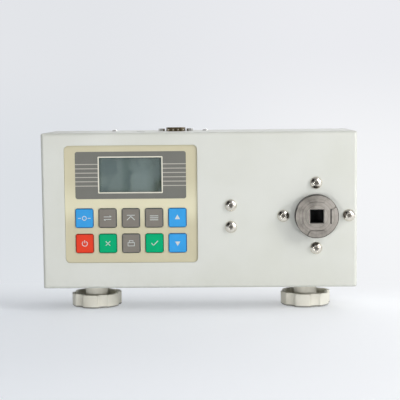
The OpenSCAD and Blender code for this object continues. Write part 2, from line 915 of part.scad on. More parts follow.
module outer_spacer() {
    color(alloy) into_case(head_x, head_z) translate([0, 0, front_bearing_t + bearing_b])
        ring(bearing_od, bearing_od - 2 * outer_ring_wall, bearing_gap);
}

module inner_spacer() {
    color(alloy) into_case(head_x, head_z) translate([0, 0, front_bearing_t + bearing_b])
        ring(shaft_d + 2 * inner_ring_wall, shaft_d + 2 * bearing_fit, bearing_gap);
}

// Retaining ring behind the rear bearing, open at the bottom
module housing_circlip() {
    color(steel) into_case(head_x, head_z) translate([0, 0, bearing_back_t]) difference() {
        ring(bearing_od + 2 * ring_out, bearing_od - 2 * ring_in, ring_t);
        rotate(90) linear_extrude(3 * ring_t, center = true)
            polygon([[0, 0], ring_reach() * [1, tan(ring_gap_deg / 2)],
                ring_reach() * [1, -tan(ring_gap_deg / 2)]]);
    }
}

function ring_reach() = bearing_od / 2 + 2 * ring_out;

// Slotted nut that clamps the inner rings to the shaft's shoulder
module shaft_nut() {
    color(steel) into_case(head_x, head_z) translate([0, 0, bearing_back_t]) difference() {
        ring(nut_ring_d, shaft_d + 2 * ease, nut_ring_t);
        for (i = [0 : nut_slots - 1]) rotate(i * 360 / nut_slots)
            translate([nut_ring_d / 2, 0, nut_ring_t])
                cube([2 * nut_slot_deep, nut_slot_w, nut_ring_t], center = true);
    }
}

// Lever clamped on the shaft; its fork takes the tip of the beam
module lever_arm() {
    lug_x = lever_hub_d / 2 + clamp_lug;
    color(alloy) difference() {
        slab(lever_front_t, lever_back_t) translate([head_x, head_z]) difference() {
            union() {
                circle(d = lever_hub_d);
                translate([-fork_reach, -fork_w / 2]) square([fork_reach, fork_w]);
                translate([0, -clamp_screw_len / 2]) square([lug_x, clamp_screw_len]);
            }
            circle(d = shaft_d + 2 * ease);
            translate([-fork_reach - over, -tip_h / 2 - fork_ease])
                square([tip_len + 2 * over, tip_h + 2 * fork_ease]);
            translate([0, -clamp_slit / 2]) square([lug_x + over, clamp_slit]);
        }
        translate([clamp_x(), panel_y + (lever_front_t + lever_back_t) / 2, head_z])
            cylinder(d = clamp_screw_d + 2 * ease, h = clamp_screw_len + 2 * over, center = true);
    }
}

function clamp_x() = head_x + lever_hub_d / 2 + clamp_lug - clamp_screw_d;

// Socket-head screw: shank along +Z, head below z = 0
module cap_screw(d, len) {
    cylinder(d = d, h = len);
    translate([0, 0, -cap_head_h]) difference() {
        cylinder(d = cap_head_d, h = cap_head_h);
        translate([0, 0, -over]) hex_bar(cap_hex, cap_hex_deep + over);
    }
}

module lever_clamp_screw() {
    color(steel) translate([clamp_x(), panel_y + (lever_front_t + lever_back_t) / 2,
        head_z + clamp_screw_len / 2]) rotate([180, 0, 0])
        cap_screw(clamp_screw_d, clamp_screw_len);
}

// Beam with two flexure holes joined by a slot; bolted at the left, forked at the right
module load_cell() {
    bar_right_x = beam_tip_x - tip_len - fork_end_gap;
    color(alloy) slab(beam_front_t, beam_front_t + beam_a) translate([0, head_z]) difference() {
        union() {
            translate([beam_left_x, -beam_a / 2]) square([bar_right_x - beam_left_x, beam_a]);
            translate([bar_right_x, -tip_h / 2])
                square([tip_len + fork_end_gap - tip_h / 2, tip_h]);
            translate([beam_tip_x - tip_h / 2, 0]) circle(d = tip_h);
        }
        for (s = [-1, 1]) translate([flexure_x + s * flexure_pitch / 2, 0]) circle(d = flexure_d);
        translate([flexure_x, 0]) square([flexure_pitch, flexure_slot], center = true);
        beam_bolt_places() circle(d = beam_bolt_d + 2 * ease);
    }
}

module beam_bolt_places() {
    for (s = [-1, 1]) translate([beam_x + s * beam_bolt_pitch / 2, 0]) children();
}

// Block that carries the beam off the back of the panel
module load_cell_block() {
    color(alloy) difference() {
        slab(sheet_t, beam_front_t) translate([beam_x, head_z])
            square([block_w, block_h], center = true);
        slab(sheet_t - over, button_shank_len + over)
            beam_screw_places() circle(d = button_shank_d + 2 * ease);
        slab(beam_front_t - beam_bolt_bite, beam_front_t + over) translate([0, head_z])
            beam_bolt_places() circle(d = beam_bolt_d + 2 * ease);
    }
}

module load_cell_screws() {
    color(bright) for (s = [-1, 1])
        into_case(beam_x, head_z + s * beam_screw_pitch / 2) button_screw();
}

module load_cell_bolts() {
    color(steel) for (s = [-1, 1])
        translate([beam_x + s * beam_bolt_pitch / 2, panel_y + beam_front_t + beam_a, head_z])
            rotate([90, 0, 0]) cap_screw(beam_bolt_d, beam_a + beam_bolt_bite);
}

module strain_gauges() {
    color([0.85, 0.55, 0.2]) for (sx = [-1, 1]) for (sz = [-1, 1])
        slab(beam_front_t + beam_a / 2 - gauge_d / 2, beam_front_t + beam_a / 2 + gauge_d / 2)
            translate([flexure_x + sx * flexure_pitch / 2, head_z + sz * (beam_a + gauge_t) / 2])
                square([gauge_w, gauge_t], center = true);
}

// Main board, upright behind the serial connector
module main_board() {
    color(board_green) slab(main_board_t, main_board_back_t) difference() {
        translate([main_board_x, main_board_z()])
            square([main_board_w, main_board_h], center = true);
        board_bracket_places() circle(d = bracket_screw_d + 2 * ease);
    }
}

function main_board_z() = case_top_z - sheet_t - main_board_drop - main_board_h / 2;

module board_bracket_places() {
    for (s = [-1, 1])
        translate([bracket_x + s * board_fix_pitch / 2, case_top_z - sheet_t - bracket_drop / 2])
            children();
}

// Two chips, a driver, four capacitors and the ribbon's header, on the board's front
module board_components() {
    color(rubber) translate([main_board_x, 0, main_board_z()]) {
        slab(main_board_t - chip_t, main_board_t) for (share = chip_x_shares)
            translate([share * main_board_w, 0]) square(chip_w, center = true);
        slab(main_board_t - driver_t, main_board_t) translate([driver_x_share * main_board_w, 0])
            square([driver_w, driver_h], center = true);
        slab(main_board_t - capacitor_l, main_board_t) for (share = capacitor_x_shares)
            translate([share * main_board_w, capacitor_z_share * main_board_h])
                circle(d = capacitor_d);
        slab(main_board_t - header_t, main_board_t) translate([ribbon_x - main_board_x,
            header_z_share * main_board_h]) square([header_w, header_h], center = true);
    }
}

// Angle that hangs the board from the top face
module board_bracket() {
    color(steel) difference() {
        union() {
            slab(main_board_back_t, main_board_back_t + bracket_t)
                translate([bracket_x, case_top_z - sheet_t - bracket_drop / 2])
                    square([bracket_w, bracket_drop], center = true);
            slab(main_board_back_t, main_board_back_t + bracket_t + bracket_leg)
                translate([bracket_x, case_top_z - sheet_t - bracket_t / 2])
                    square([bracket_w, bracket_t], center = true);
        }
        bracket_screw_places(case_top_z - sheet_t - bracket_t - over)
            cylinder(d = bracket_screw_d + 2 * ease, h = bracket_t + 2 * over);
        slab(main_board_back_t - over, main_board_back_t + bracket_t + over)
            board_bracket_places() circle(d = bracket_screw_d + 2 * ease);
    }
}

// Two screws through the top face, two through the board
module bracket_screws() {
    color(bright) {
        bracket_screw_places(case_top_z) rotate([180, 0, 0])
            pan_screw(bracket_screw_d, sheet_t + bracket_t + screw_past, bracket_screw_head_d,
                bracket_screw_head_h);
        for (s = [-1, 1]) into_case(bracket_x + s * board_fix_pitch / 2,
            case_top_z - sheet_t - bracket_drop / 2) translate([0, 0, main_board_t])
            pan_screw(bracket_screw_d, board_t + bracket_t + screw_past, bracket_screw_head_d,
                bracket_screw_head_h);
    }
}

// Flat cable that sags from the key board's back to the main board's header
module ribbon_cable() {
    start = [panel_y + key_board_t + board_t + ribbon_t / 2,
        keys_z + key_board_h / 2 - ribbon_in_board];
    end = [panel_y + main_board_t - header_t - ribbon_t / 2,
        main_board_z() + header_z_share * main_board_h];
    low_z = min(start[1], end[1]) - ribbon_low;
    route = [start, [start[0] + ribbon_t, low_z], [end[0] - ribbon_t, low_z], end];
    color(bright) translate([ribbon_x - ribbon_w / 2, 0, 0]) rotate([90, 0, 90])
        linear_extrude(ribbon_w) for (i = [0 : len(route) - 2])
            hull() for (p = [route[i], route[i + 1]]) translate(p) circle(d = ribbon_t, $fn = 16);
}

// Shell and flange of the serial connector, pressed from plated sheet
module serial_shell() {
    flange_z = case_top_z - sheet_t - connector_flange_t;
    color([0.55, 0.45, 0.28]) difference() {
        union() {
            on_top(serial_x, mid_t, flange_z) linear_extrude(connector_flange_t)
                square([connector_flange_w, connector_flange_d], center = true);
            on_top(serial_x, mid_t, flange_z) linear_extrude(connector_flange_t + shell_h)
                d_outline(0);
        }
        on_top(serial_x, mid_t, flange_z - over)
            linear_extrude(connector_flange_t + shell_h + 2 * over) d_outline(-shell_t);
        for (s = [-1, 1]) on_top(serial_x + s * jack_pitch / 2, mid_t, flange_z - over)
            cylinder(d = jack_shank_d + 2 * ease, h = connector_flange_t + 2 * over);
    }
}

// Moulded block with nine contacts, filling the shell
module serial_insert() {
    flange_z = case_top_z - sheet_t - connector_flange_t;
    top_z = case_top_z - sheet_t + shell_h - insert_down;
    color(rubber) difference() {
        union() {
            on_top(serial_x, mid_t, flange_z) linear_extrude(top_z - flange_z)
                d_outline(-shell_t - insert_gap);
            slab(mid_t - shell_d / 2, main_board_t)
                translate([serial_x, flange_z - connector_body_h / 2])
                    square([connector_body_w, connector_body_h], center = true);
        }
        for (row = [0, 1]) for (i = [0 : 4 - row])
            on_top(serial_x + (i - (4 - row) / 2) * contact_pitch,
                mid_t + (1 / 2 - row) * contact_row, top_z - contact_deep)
                cylinder(d = contact_d, h = contact_deep + over);
    }
}

// Two hexagon posts that hold the connector and take the plug's screws
module jack_screws() {
    color(bright) for (s = [-1, 1]) on_top(serial_x + s * jack_pitch / 2, mid_t) difference() {
        union() {
            hex_bar(jack_af, jack_h);
            translate([0, 0, -jack_shank_len]) cylinder(d = jack_shank_d, h = jack_shank_len);
        }
        translate([0, 0, jack_h - jack_thread_deep])
            cylinder(d = jack_thread_d, h = jack_thread_deep + over);
    }
}

// Round charger inlet, flush with the top face
module power_inlet() {
    under_z = case_top_z - sheet_t;
    color(rubber) union() {
        difference() {
            union() {
                on_top(inlet_x, mid_t, under_z) cylinder(d = inlet_collar_d, h = sheet_t);
                slab(main_board_t - inlet_body_d, main_board_t)
                    translate([inlet_x, under_z - inlet_body_h / 2])
                        square([inlet_body_w, inlet_body_h], center = true);
            }
            on_top(inlet_x, mid_t, case_top_z - inlet_deep)
                cylinder(d = inlet_bore_d, h = inlet_deep + over);
        }
        on_top(inlet_x, mid_t, case_top_z - inlet_deep)
            cylinder(d = inlet_pin_d, h = inlet_deep - inlet_pin_gap);
    }
}

function battery_span() = cells_across * cell_d;

// Six cells in one wrap, three across and two long
module battery_pack() {
    color([0.2, 0.35, 0.6]) translate([battery_x - cell_l, panel_y + mid_t,
        case_z + sheet_t + cell_d / 2]) rotate([90, 0, 90]) linear_extrude(2 * cell_l) {
        for (i = [0 : cells_across - 1])
            translate([(i - (cells_across - 1) / 2) * cell_d, 0]) circle(d = cell_d);
        square([battery_span() - cell_d, cell_d * wrap_share], center = true);
    }
}

// Steel strap over the pack, screwed to the floor
module battery_strap() {
    inner_y = battery_span() + 2 * wrap_gap;
    inner_z = cell_d + wrap_gap;
    foot_y = inner_y + 2 * strap_t + 2 * strap_foot;
    color(steel) difference() {
        translate([battery_x - strap_w / 2, panel_y + mid_t, case_z + sheet_t])
            rotate([90, 0, 90]) linear_extrude(strap_w) difference() {
                union() {
                    translate([-foot_y / 2, 0]) square([foot_y, strap_t]);
                    translate([-inner_y / 2 - strap_t, 0])
                        square([inner_y + 2 * strap_t, inner_z + strap_t]);
                }
                translate([-inner_y / 2, -over]) square([inner_y, inner_z + over]);
            }
        strap_screw_places(case_z + sheet_t - over)
            cylinder(d = strap_screw_d + 2 * ease, h = strap_t + 2 * over);
    }
}

module strap_screws() {
    color(bright) strap_screw_places(case_z + sheet_t + strap_t) rotate([180, 0, 0])
        pan_screw(strap_screw_d, sheet_t + strap_t, strap_screw_head_d, strap_screw_head_h);
}

// Outline of the star knob, drawn in by inset all round
module star_outline(inset) {
    scallop_x = knob_d / 2 - lobe_dip + scallop_r;
    difference() {
        circle(d = knob_d - 2 * inset);
        for (i = [0 : knob_lobes - 1]) rotate((i + 1 / 2) * 360 / knob_lobes)
            translate([0, -scallop_x]) circle(scallop_r + inset);
    }
}

// Moulded hand knob, its hollow side up, turned on a hub that bears on the case
module foot_knob(side) {
    color(knob_beige) translate([side * foot_x, panel_y + foot_t, knob_z]) difference() {
        union() {
            difference() {
                intersection() {
                    rotate(lobe_turn_deg) linear_extrude(knob_h) star_outline(0);
                    union() {
                        cylinder(d1 = knob_d - 2 * knob_edge, d2 = knob_d, h = knob_edge);
                        translate([0, 0, knob_edge]) cylinder(d = knob_d, h = knob_h - knob_edge);
                    }
                }
                translate([0, 0, knob_base]) rotate(lobe_turn_deg) linear_extrude(knob_h)
                    star_outline(knob_wall);
            }
            cylinder(d = hub_d, h = case_z - hub_gap - knob_z);
        }
        translate([0, 0, -over]) cylinder(d = pad_d + 2 * pad_ease, h = pad_sunk + over);
        translate([0, 0, stud_in_knob]) cylinder(d = stud_d + 2 * ease, h = case_z);
    }
}

module foot_stud(side) {
    stud_z = knob_z + stud_in_knob;
    color(bright) translate([side * foot_x, panel_y + foot_t, stud_z])
        cylinder(d = stud_d, h = case_z + sheet_t + weld_nut_h + stud_past_nut - stud_z);
}

module foot_pad(side) {
    color(rubber) translate([side * foot_x, panel_y + foot_t, 0]) cylinder(d = pad_d, h = pad_t);
}

module foot_nuts() {
    color(bright) foot_places(case_z + sheet_t) difference() {
        hex_bar(stud_d * weld_nut_af_share, weld_nut_h);
        translate([0, 0, -over])
            cylinder(d = stud_d + 2 * stud_nut_ease, h = weld_nut_h + 2 * over);
    }
}

front_case();
rear_cover();
rear_cover_screws();
rear_bumpers();
keypad_plate();
keypad_overlay();
plate_nuts();
display_window();
lcd_glass();
lcd_frame();
lcd_board();
key_board();
key_switches();
board_screws();
key(0, 0, key_blue);  // key_top_1
key(1, 0, key_grey);  // key_top_2
key(2, 0, key_grey);  // key_top_3
key(3, 0, key_grey);  // key_top_4
key(4, 0, key_blue);  // key_top_5
key(0, 1, key_red);  // key_bottom_1
key(1, 1, key_green);  // key_bottom_2
key(2, 1, key_grey);  // key_bottom_3
key(3, 1, key_green);  // key_bottom_4
key(4, 1, key_blue);  // key_bottom_5
torque_head();
bearing_housing();
head_screws();
outer_races();
inner_races();
bearing_balls();
outer_spacer();
inner_spacer();
housing_circlip();
shaft_nut();
lever_arm();
lever_clamp_screw();
load_cell();
load_cell_block();
load_cell_screws();
load_cell_bolts();
strain_gauges();
main_board();
board_components();
board_bracket();
bracket_screws();
ribbon_cable();
serial_shell();
serial_insert();
jack_screws();
power_inlet();
battery_pack();
battery_strap();
strap_screws();
foot_knob(-1);  // left_foot_knob
foot_knob(1);  // right_foot_knob
foot_pad(-1);  // left_foot_pad
foot_pad(1);  // right_foot_pad
foot_stud(-1);  // left_foot_stud
foot_stud(1);  // right_foot_stud
foot_nuts();
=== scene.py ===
"""Bench torque tester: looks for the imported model. Metres, in the model's own frame:
+X to the right, +Y from the front panel to the back, +Z up, the bench at z = 0."""

import json
import math

import bmesh
import bpy
from mathutils import Matrix, Vector


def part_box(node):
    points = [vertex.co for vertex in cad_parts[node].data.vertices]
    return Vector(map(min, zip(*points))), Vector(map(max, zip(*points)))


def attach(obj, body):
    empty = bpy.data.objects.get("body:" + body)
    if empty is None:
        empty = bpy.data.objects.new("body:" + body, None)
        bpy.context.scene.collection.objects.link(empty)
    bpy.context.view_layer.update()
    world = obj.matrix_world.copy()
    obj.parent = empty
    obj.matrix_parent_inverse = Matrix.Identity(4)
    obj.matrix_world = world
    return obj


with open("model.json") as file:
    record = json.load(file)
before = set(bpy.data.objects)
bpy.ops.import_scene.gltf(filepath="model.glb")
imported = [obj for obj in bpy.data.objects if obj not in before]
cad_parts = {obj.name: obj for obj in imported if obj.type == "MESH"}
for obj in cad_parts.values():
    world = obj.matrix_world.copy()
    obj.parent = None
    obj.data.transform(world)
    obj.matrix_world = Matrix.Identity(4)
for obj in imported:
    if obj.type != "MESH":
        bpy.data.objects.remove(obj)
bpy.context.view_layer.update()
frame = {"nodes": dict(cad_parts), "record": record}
nodes = frame["nodes"]
mm = 0.001


# Camera
# A long lens about a metre in front of the panel, a little above the case and turned
# slightly to the left, as the photograph shows the tester.
camera_data = bpy.data.cameras.new("studio_camera")
camera_data.sensor_width = 36
focal_pixels, photo_pixels = 1100, 400
camera_data.lens = focal_pixels * camera_data.sensor_width / photo_pixels
camera_data.clip_start = 0.05
camera_data.clip_end = 20
camera = bpy.data.objects.new("studio_camera", camera_data)
bpy.context.scene.collection.objects.link(camera)
yaw, pitch, roll = math.radians(1.23), math.radians(5.12), math.radians(-0.56)
ahead = Vector((-math.sin(yaw) * math.cos(pitch), math.cos(yaw) * math.cos(pitch), -math.sin(pitch)))
level_right = Vector((math.cos(yaw), math.sin(yaw), 0))
level_up = level_right.cross(ahead)
right = math.cos(roll) * level_right + math.sin(roll) * level_up
up = math.cos(roll) * level_up - math.sin(roll) * level_right
turned = Matrix((right, up, -ahead)).transposed().to_4x4()
camera_place = Vector((0.021, -0.974, 0.1816))
camera.matrix_world = Matrix.Translation(camera_place) @ turned
bpy.context.scene.camera = camera


# Floor and backdrop
# A pale sweep of seamless paper: flat on the table, then curved up behind the tester.
# Painted shade makes the paper greyer at the left than at the right, and painted light makes it
# glow for camera, glossy and transmission rays, fully on the wall and partly on the table.
class Wire:
    """A socket in a node tree, so that shader maths reads as plain sums."""

    def __init__(self, finish, socket):
        self.finish, self.socket = finish, socket

    def sum(self, operation, *values):
        numbered = {i: v for i, v in enumerate(values)}
        return self.finish.node("ShaderNodeMath", {"operation": operation}, numbered).wire("Value")

    def __add__(self, other):
        return self.sum("ADD", self, other)

    def __radd__(self, other):
        return self.sum("ADD", other, self)

    def __sub__(self, other):
        return self.sum("SUBTRACT", self, other)

    def __rsub__(self, other):
        return self.sum("SUBTRACT", other, self)

    def __mul__(self, other):
        return self.sum("MULTIPLY", self, other)

    def __rmul__(self, other):
        return self.sum("MULTIPLY", other, self)

    def least(self, other):
        return self.sum("MINIMUM", self, other)

    def most(self, other):
        return self.sum("MAXIMUM", self, other)

    def from_nearest(self, pitch):
        """How far the value is from the nearest whole number of pitches."""
        return self.sum("PINGPONG", self, pitch / 2)

    def clear_of(self, low, high):
        """0 below low, 1 above high, and a smooth ramp between."""
        ramp = self.finish.node("ShaderNodeMapRange", {"interpolation_type": "SMOOTHSTEP"},
                                {"Value": self, "From Min": low, "From Max": high})
        return ramp.wire("Result")


class Placed:
    """A node that has been put in the tree, and its outputs."""

    def __init__(self, finish, made):
        self.finish, self.made = finish, made

    def wire(self, name=0):
        return Wire(self.finish, self.made.outputs[name])


class Finish:
    """One material: its node tree, and the shader that the surface shows."""

    def __init__(self, name, shader="ShaderNodeBsdfPrincipled", **values):
        self.material = bpy.data.materials.new(name)
        self.material.use_nodes = True
        self.tree = self.material.node_tree
        self.tree.nodes.clear()
        self.shader = self.node(shader, {}, {k.replace("_", " "): v for k, v in values.items()})
        self.output = self.node("ShaderNodeOutputMaterial", {}, {"Surface": self.shader.wire()})

    def flat_distance(self, centre, flat=(1, 0, 1)):
        """How far a point lies from an axis through the centre, in metres."""
        return self.node("ShaderNodeVectorMath", {"operation": "LENGTH"},
                         {0: self.place(flat, centre)}).wire("Value")

    def node(self, kind, settings=None, values=None):
        made = self.tree.nodes.new(kind)
        for key, value in (settings or {}).items():
            if key == "stops":
                ramp = made.color_ramp.elements
                while len(ramp) < len(value):
                    ramp.new(0.5)
                for stop, (place, tone) in zip(ramp, value):
                    stop.position, stop.color = place, tone
            else:
                setattr(made, key, value)
        for key, value in (values or {}).items():
            self.feed(made.inputs[key], value)
        return Placed(self, made)

    def feed(self, socket, value):
        if isinstance(value, Wire):
            self.tree.links.new(value.socket, socket)
        else:
            socket.default_value = value

    def show(self, **values):
        for key, value in values.items():
            self.feed(self.shader.made.inputs[key.replace("_", " ")], value)

    def place(self, stretch=(1, 1, 1), centre=(0, 0, 0)):
        """Object coordinates in metres, moved to a centre and stretched."""
        here = self.node("ShaderNodeTexCoord").wire("Object")
        moved = self.node("ShaderNodeVectorMath", {"operation": "SUBTRACT"}, {0: here, 1: centre})
        return self.node("ShaderNodeVectorMath", {"operation": "MULTIPLY"},
                         {0: moved.wire(), 1: stretch}).wire()

    def axis(self, which, where=None):
        parts = self.node("ShaderNodeSeparateXYZ", {}, {"Vector": where or self.place()})
        return parts.wire(which)

    def noise(self, scale, detail=2.0, roughness=0.5, where=None):
        return self.node("ShaderNodeTexNoise", {}, {
            "Vector": where or self.place(), "Scale": scale, "Detail": detail,
            "Roughness": roughness}).wire("Fac")

    def tone(self, share, first, second):
        """The first colour where share is 0, the second where it is 1."""
        mix = self.node("ShaderNodeMix", {"data_type": "RGBA"}, {0: share, 6: first, 7: second})
        return mix.wire(2)

    def relief(self, height, distance, strength=1.0, under=None):
        values = {"Height": height, "Distance": distance, "Strength": strength}
        if under:
            values["Normal"] = under
        return self.node("ShaderNodeBump", {}, values).wire("Normal")


def shade(red, green, blue):
    """A colour as a screen shows it, 0 to 255, made linear."""
    linear = [((c / 255 + 0.055) / 1.055) ** 2.4 if c > 10 else c / 255 / 12.92
              for c in (red, green, blue)]
    return (*linear, 1.0)


def new_piece(name, bm, finish, body=None, smooth=True):
    """Ends a bmesh as a named object, and lets it ride on its body."""
    mesh = bpy.data.meshes.new(name)
    bm.to_mesh(mesh)
    bm.free()
    mesh.polygons.foreach_set("use_smooth", [smooth] * len(mesh.polygons))
    piece = bpy.data.objects.new(name, mesh)
    bpy.context.scene.collection.objects.link(piece)
    mesh.materials.append(finish.material)
    if body:
        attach(piece, body)
    return piece


paper = Finish("backdrop_paper", "ShaderNodeBsdfDiffuse")
far_back = paper.axis("Y").clear_of(-0.01, 0.13)
upright = paper.axis("Z").clear_of(0.03, 0.30)
# Painted shade: the paper's tone darkens towards the left, on the table and on the wall.
left_to_right = paper.axis("X").clear_of(-0.30, 0.30)
table_shade = paper.tone(left_to_right, shade(243, 247, 252), shade(252, 253, 255))
low_shade = paper.tone(left_to_right, shade(221, 225, 230), shade(245, 246, 248))
high_shade = paper.tone(left_to_right, shade(227, 229, 233), shade(235, 236, 240))
wall_shade = paper.tone(upright, low_shade, high_shade)
paper_shade = paper.tone(far_back, table_shade, wall_shade)
paper.show(Color=paper_shade)
# Painted light: the paper glows for camera, glossy and transmission rays, fully on the wall and partly
# on the table.
paper_painted_glow = paper.node("ShaderNodeEmission", {}, {"Color": paper_shade, "Strength": 1.0})
rays = paper.node("ShaderNodeLightPath")
seen = rays.wire("Is Camera Ray").most(rays.wire("Is Glossy Ray")).most(rays.wire("Is Transmission Ray"))
glow_share = (0.38 + 0.62 * far_back) * seen
paper_mix = paper.node("ShaderNodeMixShader", {}, {
    0: glow_share, 1: paper.shader.wire(), 2: paper_painted_glow.wire()})
paper.feed(paper.output.made.inputs["Surface"], paper_mix.wire())
paper_half_w, paper_front, bend_from, bend_radius, wall_h = 4, -3.5, 0.8, 0.6, 2.4
bm = bmesh.new()
edge = [bm.verts.new((side * paper_half_w, paper_front, 0)) for side in (-1, 1)]
strip = bm.edges.new(edge)
grown = bmesh.ops.extrude_edge_only(bm, edges=[strip])["geom"]
bmesh.ops.translate(bm, verts=[v for v in grown if isinstance(v, bmesh.types.BMVert)],
                    vec=(0, bend_from - paper_front, 0))
last = [e for e in grown if isinstance(e, bmesh.types.BMEdge)]
bmesh.ops.spin(bm, geom=last, cent=(0, bend_from, bend_radius), axis=(1, 0, 0),
               angle=math.radians(90), steps=24)
paper_back = bend_from + bend_radius
top_edge = [e for e in bm.edges if all(abs(v.co.y - paper_back) < 1e-4 for v in e.verts)]
grown = bmesh.ops.extrude_edge_only(bm, edges=top_edge)["geom"]
bmesh.ops.translate(bm, verts=[v for v in grown if isinstance(v, bmesh.types.BMVert)],
                    vec=(0, 0, wall_h))
bmesh.ops.recalc_face_normals(bm, faces=bm.faces)
backdrop = new_piece("backdrop", bm, paper)


# Lamps
# A soft box at the right throws the shadow, two low ones fill the knobs, one stands at the
# upper right and one behind. A black flag at the upper left darkens the screw heads.
def soft_box(name, place, aim, size, power):
    lamp = bpy.data.lights.new(name, "AREA")
    lamp.shape = "RECTANGLE"
    lamp.size, lamp.size_y = size
    lamp.energy = power
    lamp_object = bpy.data.objects.new(name, lamp)
    bpy.context.scene.collection.objects.link(lamp_object)
    lamp_object.visible_camera = False
    lamp_object.location = place
    lamp_object.rotation_euler = (Vector(aim) - Vector(place)).to_track_quat("-Z", "Y").to_euler()


soft_box("key_soft_box", (1.15, -0.6, 0.42), (0, 0, 0.04), (0.35, 0.35), 7.0)
soft_box("low_right_box", (0.55, -1.0, 0.10), (0, 0, 0.03), (0.3, 0.14), 2)
soft_box("low_left_box", (-0.45, -1.15, 0.045), (-0.1, 0, 0.03), (0.3, 0.07), 3.4)
soft_box("top_soft_box", (0.9, -0.75, 1.15), (0, -0.35, 0), (0.6, 0.6), 6.5)
soft_box("back_soft_box", (0.3, 0.75, 0.65), (0, 0, 0.15), (1.2, 0.3), 3)
flag_place, flag_aim = Vector((-0.78, -0.60, 0.95)), Vector((0.06, 0, 0.09))
flag_half_w = 0.45
bm = bmesh.new()
bmesh.ops.create_grid(bm, x_segments=1, y_segments=1, size=flag_half_w)
bmesh.ops.transform(bm, verts=bm.verts, matrix=Matrix.Translation(flag_place)
                    @ (flag_aim - flag_place).to_track_quat("Z", "Y").to_matrix().to_4x4())
black_felt = Finish("black_felt", "ShaderNodeBsdfDiffuse", Color=(0.004, 0.004, 0.004, 1))
flag = new_piece("black_flag", bm, black_felt)
flag.visible_camera = False
# The room is lightest at the right and the back.
room = bpy.data.worlds.new("room")
bpy.context.scene.world = room
room.use_nodes = True
room_nodes, room_links = room.node_tree.nodes, room.node_tree.links
towards = room_nodes.new("ShaderNodeTexCoord").outputs["Generated"]
to_light = room_nodes.new("ShaderNodeVectorMath")
to_light.operation = "DOT_PRODUCT"
to_light.inputs[1].default_value = Vector((0.68, 0.45, -0.12)).normalized()
room_links.new(towards, to_light.inputs[0])
room_shades = room_nodes.new("ShaderNodeValToRGB")
for stop, (place, tone) in zip(room_shades.color_ramp.elements, ((0.0, 0.12), (1.0, 0.76))):
    stop.position, stop.color = place, (tone * 0.99, tone, tone * 1.03, 1)
half = room_nodes.new("ShaderNodeMath")
half.operation = "MULTIPLY_ADD"
half.inputs[1].default_value = half.inputs[2].default_value = 0.5
room_links.new(to_light.outputs["Value"], half.inputs[0])
room_links.new(half.outputs["Value"], room_shades.inputs["Fac"])
room_links.new(room_shades.outputs["Color"], room_nodes["Background"].inputs["Color"])
room_nodes["Background"].inputs["Strength"].default_value = 1.0
# Past the paper's edges the camera sees an even pale room.
pale_room = room_nodes.new("ShaderNodeBackground")
pale_room.inputs["Color"].default_value = (0.78, 0.79, 0.83, 1)
past_paper = room_nodes.new("ShaderNodeMixShader")
seen_rays = room_nodes.new("ShaderNodeLightPath").outputs["Is Camera Ray"]
room_links.new(seen_rays, past_paper.inputs["Fac"])
room_links.new(room_nodes["Background"].outputs["Background"], past_paper.inputs[1])
room_links.new(pale_room.outputs["Background"], past_paper.inputs[2])
room_links.new(past_paper.outputs["Shader"], room_nodes["World Output"].inputs["Surface"])
bpy.context.scene.view_settings.view_transform = "Standard"


# Case and rear cover
# Folded steel sheet with welded corners, sprayed in a warm off-white satin paint. The
# paint has a fine orange peel, faint cloudiness and a little handling dirt low down.
case_low = 21.6 * mm


def coat(name, red, green, blue):
    painted = Finish(name, Roughness=0.42)
    cloud = painted.noise(14, 3)
    fine = painted.noise(220, 2)
    base = painted.tone(cloud.clear_of(0.35, 0.7), shade(red, green, blue),
                        shade(red - 5, green - 5, blue - 7))
    low_down = 1 - painted.axis("Z").clear_of(case_low, case_low + 12 * mm)
    grime = low_down * fine.clear_of(0.35, 0.75) * 0.12
    painted.show(Base_Color=painted.tone(grime, base, shade(red - 34, green - 36, blue - 44)),
                 Roughness=0.38 + 0.12 * cloud,
                 Normal=painted.relief(painted.noise(1500, 2), 0.00002, 0.35))
    return painted


case_paint = coat("case_paint", 204, 205, 198)


def dress(finish, *names):
    for name in names:
        mesh = nodes[name].data
        mesh.materials.clear()
        mesh.materials.append(finish.material)


dress(case_paint, "front_case", "rear_cover")


# Keypad film and plate
# A beige polyester film glued on a moulded plate, sunk in the panel's cut-out. A warm grey
# zone is printed round the display, with a white border and six pale stripes at each side.
panel_face = -37


def panel_y(depth):
    """Model y of a depth in millimetres behind the panel's outer face."""
    return (depth + panel_face) * mm


# The prints are laid out in millimetres: heights from the bench, depths from the panel's face.
panel_mid = 88.6
print_x, window_z = -58.65, panel_mid + 31.0
film_face = 1.1
print_thick = 0.05
over_print = print_thick * 0.6

film_beige = Finish("film_beige", Roughness=0.5)
film_cloud = film_beige.noise(30, 3)
film_z = film_beige.axis("Z")
# Painted light: the film's colour is lighter in a band between the display and the keys.
film_painted_light = film_z.clear_of((panel_mid - 14) * mm, (panel_mid + 2) * mm) * (
    1 - film_z.clear_of((panel_mid + 5) * mm, (panel_mid + 30) * mm))
film_tone = film_beige.tone(film_cloud, shade(196, 190, 160), shade(189, 181, 151))
film_beige.show(
    Base_Color=film_beige.tone(film_painted_light * 0.8, film_tone, shade(214, 209, 179)),
    Roughness=0.45 + 0.12 * film_cloud,
    Normal=film_beige.relief(film_beige.noise(2600, 1), 0.00001, 0.3))
dress(film_beige, "keypad_overlay", "keypad_plate")


